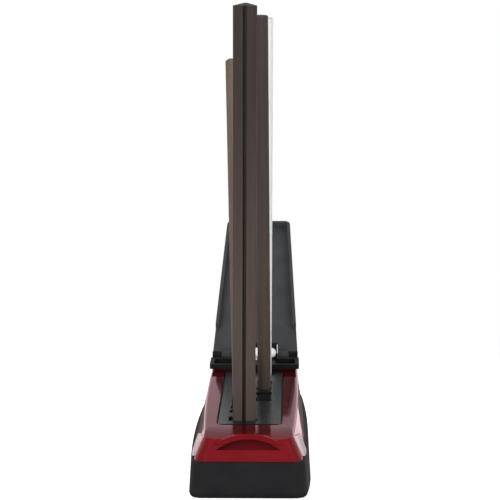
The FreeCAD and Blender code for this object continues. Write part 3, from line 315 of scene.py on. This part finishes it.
def white_gloss_abs():
    """Gloss-moulded white ABS of the lock button: bright, with soft-edged highlights."""
    material, tree, place = new_finish("white_gloss_abs")
    cloud = add(tree, "ShaderNodeTexNoise", {"Vector": place}, Scale=per_mm(5.0), Detail=2.0)
    white = add(tree, "ShaderNodeValToRGB", {"Fac": cloud.outputs[0]},
                [(0.3, colour("#e6e4e0")), (0.7, colour("#efedea"))])
    normal = add(tree, "ShaderNodeBump", {"Height": cloud.outputs[0]}, Strength=0.3,
                 Distance=0.01 * MM)
    skin = add(tree, "ShaderNodeBsdfPrincipled",
               {"Base Color": white.outputs[0], "Normal": normal.outputs[0]},
               Roughness=0.2, IOR=1.54, Coat_Weight=0.2, Coat_Roughness=0.08)
    add(tree, "ShaderNodeOutputMaterial", {"Surface": skin.outputs[0]})
    return material


# The ribs of the grips, as in the part, in mm: where the first starts, their pitch and width.
GRIP_START = -80.0
GRIP_PITCH = 3.1
GRIP_RIB = 1.7


def grip_elastomer_and_reflection():
    """Satin elastomer of the ribbed grips: pale pink ribs, partly their own colour and partly
    painted reflection of the white surround, with the red showing between its ribs.
    """
    material, tree, place = new_finish("grip_elastomer_and_reflection")
    fine = add(tree, "ShaderNodeTexNoise", {"Vector": place}, Scale=per_mm(0.6), Detail=2.0)
    # Partly painted reflection: the pale pink on the ribs stands in part for white mirrored by
    # glossy ribs.
    pale = add(tree, "ShaderNodeValToRGB", {"Fac": fine.outputs[0]},
               [(0.3, colour("#c0a4a9")), (0.75, colour("#d7bec3"))])
    parts = add(tree, "ShaderNodeSeparateXYZ", {"Vector": place})
    along = add(tree, "ShaderNodeMath", {0: parts.outputs["Y"], 1: GRIP_START * MM},
                operation="SUBTRACT")
    step = add(tree, "ShaderNodeMath", {0: along.outputs[0], 1: GRIP_PITCH * MM},
               operation="FLOORED_MODULO")
    between = where(tree, [(step.outputs[0], "GREATER_THAN", GRIP_RIB)])
    tone = add(tree, "ShaderNodeMix",
               {FACTOR: between, FIRST: pale.outputs[0], SECOND: colour("#5a1019")},
               data_type="RGBA")
    normal = add(tree, "ShaderNodeBump", {"Height": fine.outputs[0]}, Strength=0.4,
                 Distance=0.04 * MM)
    skin = add(tree, "ShaderNodeBsdfPrincipled",
               {"Base Color": tone.outputs[MIXED], "Normal": normal.outputs[0]},
               Roughness=0.32, IOR=1.5, Subsurface_Weight=0.1, Subsurface_Scale=1.0 * MM)
    add(tree, "ShaderNodeOutputMaterial", {"Surface": skin.outputs[0]})
    return material


def moulded_foot_rubber():
    """Moulded nitrile rubber of the feet: flat black, with a dry open grain."""
    material, tree, place = new_finish("moulded_foot_rubber")
    fine = add(tree, "ShaderNodeTexNoise", {"Vector": place}, Scale=per_mm(0.7), Detail=3.0)
    tone = add(tree, "ShaderNodeValToRGB", {"Fac": fine.outputs[0]},
               [(0.3, colour("#191919")), (0.75, colour("#232323"))])
    normal = add(tree, "ShaderNodeBump", {"Height": fine.outputs[0]}, Strength=0.5,
                 Distance=0.06 * MM)
    skin = add(tree, "ShaderNodeBsdfPrincipled",
               {"Base Color": tone.outputs[0], "Normal": normal.outputs[0]}, Roughness=0.82)
    add(tree, "ShaderNodeOutputMaterial", {"Surface": skin.outputs[0]})
    return material


def zinc_plated_steel():
    """Turned and zinc-plated steel of the screws, the pin and the spring: grey with fine lines."""
    material, tree, place = new_finish("zinc_plated_steel")
    lines = rubbed(tree, place, across=0.8, along=0.25)
    tone = add(tree, "ShaderNodeValToRGB", {"Fac": lines.outputs[0]},
               [(0.3, colour("#a9acae")), (0.75, colour("#c3c5c7"))])
    rough = add(tree, "ShaderNodeValToRGB", {"Fac": lines.outputs[0]},
                [(0.3, grey(0.26)), (0.75, grey(0.4))])
    normal = add(tree, "ShaderNodeBump", {"Height": lines.outputs[0]}, Strength=0.4,
                 Distance=0.01 * MM)
    skin = add(tree, "ShaderNodeBsdfPrincipled",
               {"Base Color": tone.outputs[0], "Roughness": rough.outputs[0],
                "Normal": normal.outputs[0]},
               Metallic=1.0)
    add(tree, "ShaderNodeOutputMaterial", {"Surface": skin.outputs[0]})
    return material


cover_plastic = satin_plastic("grained_grey_abs", tones=("#3b3c3e", "#444547"),
                              rough_range=(0.42, 0.54), relief=0.03, gloss=0.3)
steel = zinc_plated_steel()
rubber = moulded_foot_rubber()
grip = grip_elastomer_and_reflection()
finishes = {
    "triangular_rod": sintered_stick("coarse_sintered_stick", tones=("#463b37", "#584b45"),
                                     rough=0.66, stand=TRIANGLE_STAND, tip=0.52, shaded_groove=True),
    "round_rod_front": sintered_stick("coarse_round_stick", tones=("#3f3430", "#514640"),
                                      rough=0.66, stand=FRONT_STAND, tip=0.8),
    "round_rod_rear": sintered_stick("medium_sintered_stick", tones=("#574a41", "#685b51"),
                                     rough=0.7, stand=REAR_STAND, tip=1.2),
    "white_rod": fired_alumina(),
    "lower_shell": soft_touch_rubber(),
    "red_housing": polished_red_abs(),
    "socket_plate": satin_plastic("satin_black_abs", tones=("#171a1d", "#1d2226"),
                                  rough_range=(0.23, 0.28), relief=0.008, gloss=0.5,
                                  shaded_edge=True),
    "socket_block": satin_plastic("socket_black_abs", tones=("#111213", "#181919"),
                                  rough_range=(0.5, 0.65), relief=0.03, gloss=0.5),
    "hinge_bar": satin_plastic("hinge_black_abs", tones=("#161819", "#1c1d1e"),
                               rough_range=(0.5, 0.62), relief=0.03, gloss=0.22),
    "cover": cover_plastic,
    "lock_button": white_gloss_abs(),
    "hinge_pin": steel,
    "button_spring": steel,
    "case_screws": steel,
    "block_screws": steel,
    "bar_screws": steel,
    "grip_left": grip,
    "grip_right": grip,
    "foot_pad_front_left": rubber,
    "foot_pad_front_right": rubber,
    "foot_pad_rear_left": rubber,
    "foot_pad_rear_right": rubber,
}
for name, item in nodes.items():
    item.data.materials.clear()
    item.data.materials.append(finishes[name])


def make_object(name, form, material):
    """Turn a bmesh into an object of the scene, at the origin, with its material."""
    mesh = bpy.data.meshes.new(name)
    form.to_mesh(mesh)
    form.free()
    mesh.materials.append(material)
    item = bpy.data.objects.new(name, mesh)
    bpy.context.scene.collection.objects.link(item)
    return item


# The cover stands open: +Y of this frame runs up its length and +Z is its inside.
COVER_ANGLE = math.radians(39.0)
hinge = Vector(joints["cover_hinge"]["pos_m"])
cover_frame = Matrix.Translation(hinge) @ Matrix.Rotation(COVER_ANGLE, 4, "X")
# The ejector marks in that frame, in mm.
MARK_ACROSS = 15.5
MARKS_ALONG = (38.0, 72.0, 106.0, 136.0)
MARK_RADIUS = 1.5
MARK_HEIGHT = 0.12
MARK_SIDES = 24


def ejector_marks():
    """Faint round witness marks that the mould's ejector pins leave on the inside of the cover."""
    form = bmesh.new()
    for across in (-MARK_ACROSS, MARK_ACROSS):
        for along in MARKS_ALONG:
            ring = bmesh.ops.create_circle(form, cap_ends=True, segments=MARK_SIDES,
                                           radius=MARK_RADIUS * MM)["verts"]
            face = ring[0].link_faces[0]
            bmesh.ops.translate(form, verts=ring, vec=(across * MM, along * MM, 0.0))
            raised = bmesh.ops.extrude_face_region(form, geom=[face])
            top = [v for v in raised["geom"] if isinstance(v, bmesh.types.BMVert)]
            bmesh.ops.translate(form, verts=top, vec=(0.0, 0.0, MARK_HEIGHT * MM))
    bmesh.ops.transform(form, matrix=cover_frame, verts=form.verts)
    bmesh.ops.recalc_face_normals(form, faces=form.faces)
    return form


marks = make_object("cover_ejector_marks", ejector_marks(), cover_plastic)
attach(marks, "cover_lid")

# Studio: a pale floor, a white surround and soft lamps before and behind. Sizes in metres.
FLOOR_HALF = 4.0
PAPER_GLOW = 0.72
PAPER_IN_GLOSS = 0.12


def white_paper():
    """Matte white paper that stays white to the camera, dim in the gloss, and keeps the shadow."""
    material, tree = new_material("white_paper")
    paper = add(tree, "ShaderNodeBsdfDiffuse", Color=colour("#f4f4f4"))
    glow = add(tree, "ShaderNodeEmission", Color=grey(1.0), Strength=PAPER_GLOW)
    lit = add(tree, "ShaderNodeAddShader", {0: paper.outputs[0], 1: glow.outputs[0]})
    dim = add(tree, "ShaderNodeEmission", Color=grey(1.0), Strength=PAPER_IN_GLOSS)
    path = add(tree, "ShaderNodeLightPath")
    mirrored = add(tree, "ShaderNodeMixShader", {0: path.outputs["Is Glossy Ray"],
                                                 1: paper.outputs[0], 2: dim.outputs[0]})
    seen = add(tree, "ShaderNodeMixShader", {0: path.outputs["Is Camera Ray"],
                                             1: mirrored.outputs[0], 2: lit.outputs[0]})
    add(tree, "ShaderNodeOutputMaterial", {"Surface": seen.outputs[0]})
    return material


floor_form = bmesh.new()
bmesh.ops.create_grid(floor_form, x_segments=1, y_segments=1, size=FLOOR_HALF)
make_object("floor", floor_form, white_paper())

AMBIENT = 0.3
# What the gloss mirrors: a sweep behind the object, white low down and grey above, by the Z part
# of the direction, and a dim room before it. The one gives way to the other between two Y parts.
SWEEP = [(0.05, grey(1.3)), (0.25, grey(0.95)), (0.42, grey(0.66)), (0.65, grey(0.6)),
         (0.97, grey(0.3))]
ROOM = grey(0.25)
ROOM_ENDS = -0.2
SWEEP_STARTS = 0.5


def white_surround():
    """A world that is white to the camera, soft as a light, and graded where gloss mirrors it."""
    world = bpy.data.worlds.new("white_surround")
    world.use_nodes = True
    tree = world.node_tree
    tree.nodes.clear()
    path = add(tree, "ShaderNodeLightPath")
    seen = add(tree, "ShaderNodeMath", {0: path.outputs["Is Camera Ray"],
                                        1: path.outputs["Is Transmission Ray"]},
               operation="MAXIMUM")
    ambient = add(tree, "ShaderNodeBackground", Color=grey(1.0), Strength=AMBIENT)
    plain_white = add(tree, "ShaderNodeBackground", Color=grey(1.0), Strength=1.0)
    direction = add(tree, "ShaderNodeTexCoord")
    heading = add(tree, "ShaderNodeSeparateXYZ", {"Vector": direction.outputs["Generated"]})
    behind = add(tree, "ShaderNodeMapRange",
                 {"Value": heading.outputs["Y"], "From Min": ROOM_ENDS, "From Max": SWEEP_STARTS})
    sweep = add(tree, "ShaderNodeValToRGB", {"Fac": heading.outputs["Z"]}, SWEEP)
    room = add(tree, "ShaderNodeMix",
               {FACTOR: behind.outputs[0], FIRST: ROOM, SECOND: sweep.outputs[0]},
               data_type="RGBA")
    mirrored = add(tree, "ShaderNodeBackground", {"Color": room.outputs[MIXED]}, Strength=1.0)
    gloss = add(tree, "ShaderNodeMixShader", {0: path.outputs["Is Glossy Ray"],
                                              1: ambient.outputs[0], 2: mirrored.outputs[0]})
    surround = add(tree, "ShaderNodeMixShader", {0: seen.outputs[0], 1: gloss.outputs[0],
                                                 2: plain_white.outputs[0]})
    add(tree, "ShaderNodeOutputWorld", {"Surface": surround.outputs[0]})
    return world


bpy.context.scene.world = white_surround()

LAMP_AIM = Vector((0.0, 0.0, 0.12))


def soft_box(name, place, width, height, power):
    """A rectangular lamp aimed at the object, kept out of its reflections."""
    lamp = bpy.data.lights.new(name, "AREA")
    lamp.shape = "RECTANGLE"
    lamp.size = width
    lamp.size_y = height
    lamp.energy = power
    item = bpy.data.objects.new(name, lamp)
    item.location = place
    item.rotation_euler = (LAMP_AIM - Vector(place)).to_track_quat("-Z", "Y").to_euler()
    item.visible_glossy = False
    bpy.context.scene.collection.objects.link(item)


soft_box("key_left", (-0.7, -1.3, 0.4), width=0.8, height=0.7, power=15.2)
soft_box("fill_right", (1.0, -1.0, 0.4), width=0.6, height=0.7, power=10.4)
soft_box("top_rear", (0.0, 0.7, 1.4), width=1.2, height=0.8, power=3.0)
soft_box("fill_rear", (-0.6, 1.3, 0.5), width=0.8, height=0.7, power=11.0)

# Camera: 1500 pixels of focal length on a 500-pixel frame, standing low before the narrow end.
SENSOR = 36.0
FOCAL_PIXELS = 1500.0
FRAME_PIXELS = 500.0
CAMERA_PLACE = (0.023, -0.912, 0.103)
# How far right of and below the picture's middle the vanishing point and the horizon lie.
PIXELS_RIGHT = 40.0
PIXELS_BELOW = 60.0
camera_data = bpy.data.cameras.new("camera")
camera_data.sensor_width = SENSOR
camera_data.lens = FOCAL_PIXELS / FRAME_PIXELS * SENSOR
camera_data.clip_start = 0.01
camera_data.clip_end = 20.0
camera = bpy.data.objects.new("camera", camera_data)
camera.location = CAMERA_PLACE
aim = Vector((-PIXELS_RIGHT / FOCAL_PIXELS, 1.0, PIXELS_BELOW / FOCAL_PIXELS))
camera.rotation_euler = aim.to_track_quat("-Z", "Y").to_euler()
bpy.context.scene.collection.objects.link(camera)
bpy.context.scene.camera = camera
bpy.context.scene.view_settings.view_transform = "Standard"
